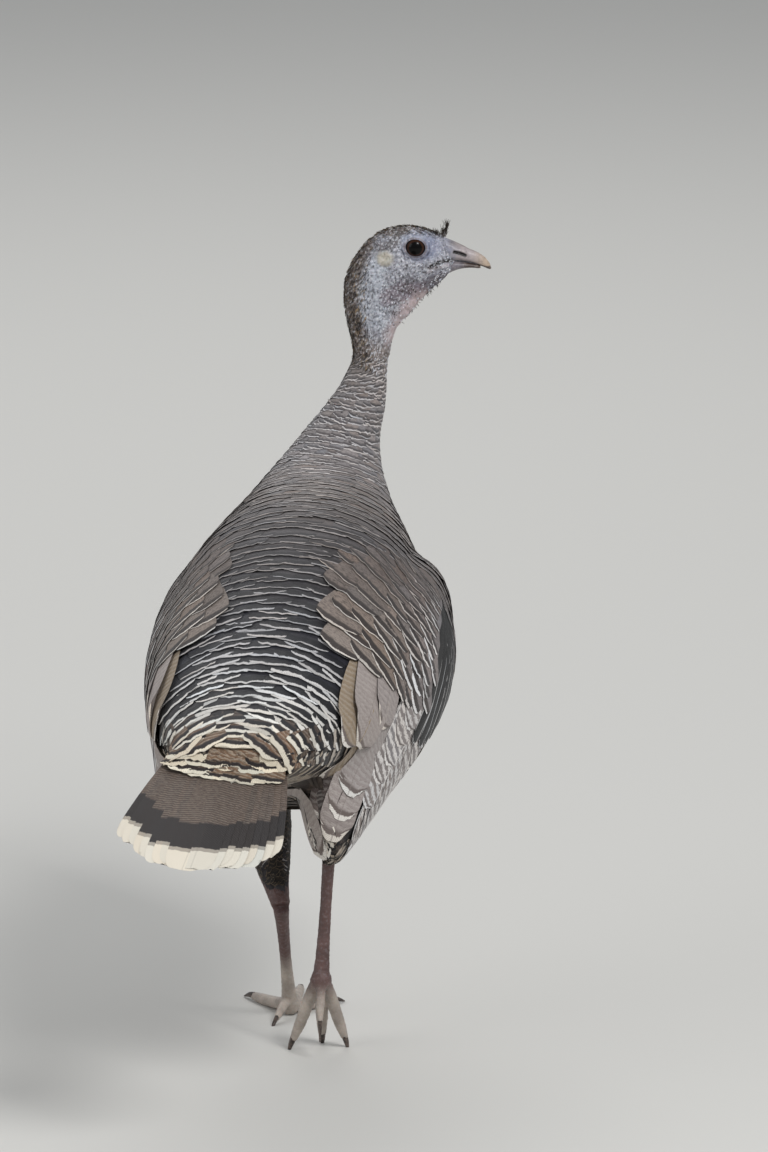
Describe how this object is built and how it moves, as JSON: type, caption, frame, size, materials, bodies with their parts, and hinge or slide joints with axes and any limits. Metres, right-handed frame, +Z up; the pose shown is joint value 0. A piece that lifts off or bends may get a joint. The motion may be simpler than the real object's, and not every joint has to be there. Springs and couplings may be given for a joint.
{
  "type": "wild turkey",
  "caption": "Life-size still model of a wild turkey hen in mid stride, head turned to her right, wings folded and tail low.",
  "frame": {"origin": "on the floor, under the middle of the bird's outline", "axes": "+Z up; +Y the way her body faces; +X to her right, the way the bill points"},
  "size_m": [0.247, 0.66, 0.6357],
  "materials": {
    "plumage": "overlapping grey-brown contour feathers with dark bars and pale tips",
    "quills": "firm flight and tail feathers with a slight sheen",
    "bare_skin": "bare blue-grey wrinkled skin with sparse hair-like feathers",
    "bill_horn": "smooth pinkish-brown horn, darker at the gape",
    "eye": "wet dark-brown eye",
    "leg_scales": "horny scutes, reddish brown on the shank and paler on the toes",
    "claw_horn": "dark horn"
  },
  "bodies": {
    "root": {"trunk": "plumage", "neck_lower": "plumage", "neck_upper": "bare_skin", "head": "bare_skin", "snood": "bare_skin", "bill_upper": "bill_horn", "bill_lower": "bill_horn", "eye_left": "eye", "eye_right": "eye", "tail": "quills", "wing_right": "plumage", "primaries_right": "quills", "wing_left": "plumage", "primaries_left": "quills", "drumstick_left": "plumage", "shank_left": "leg_scales", "ball_left": "leg_scales", "toe_left_inner": "leg_scales", "claw_left_inner": "claw_horn", "toe_left_middle": "leg_scales", "claw_left_middle": "claw_horn", "toe_left_outer": "leg_scales", "claw_left_outer": "claw_horn", "toe_left_hind": "leg_scales", "claw_left_hind": "claw_horn", "drumstick_right": "plumage", "shank_right": "leg_scales", "ball_right": "leg_scales", "toe_right_inner": "leg_scales", "claw_right_inner": "claw_horn", "toe_right_middle": "leg_scales", "claw_right_middle": "claw_horn", "toe_right_outer": "leg_scales", "claw_right_outer": "claw_horn", "toe_right_hind": "leg_scales", "claw_right_hind": "claw_horn"}
  },
  "joints": []
}
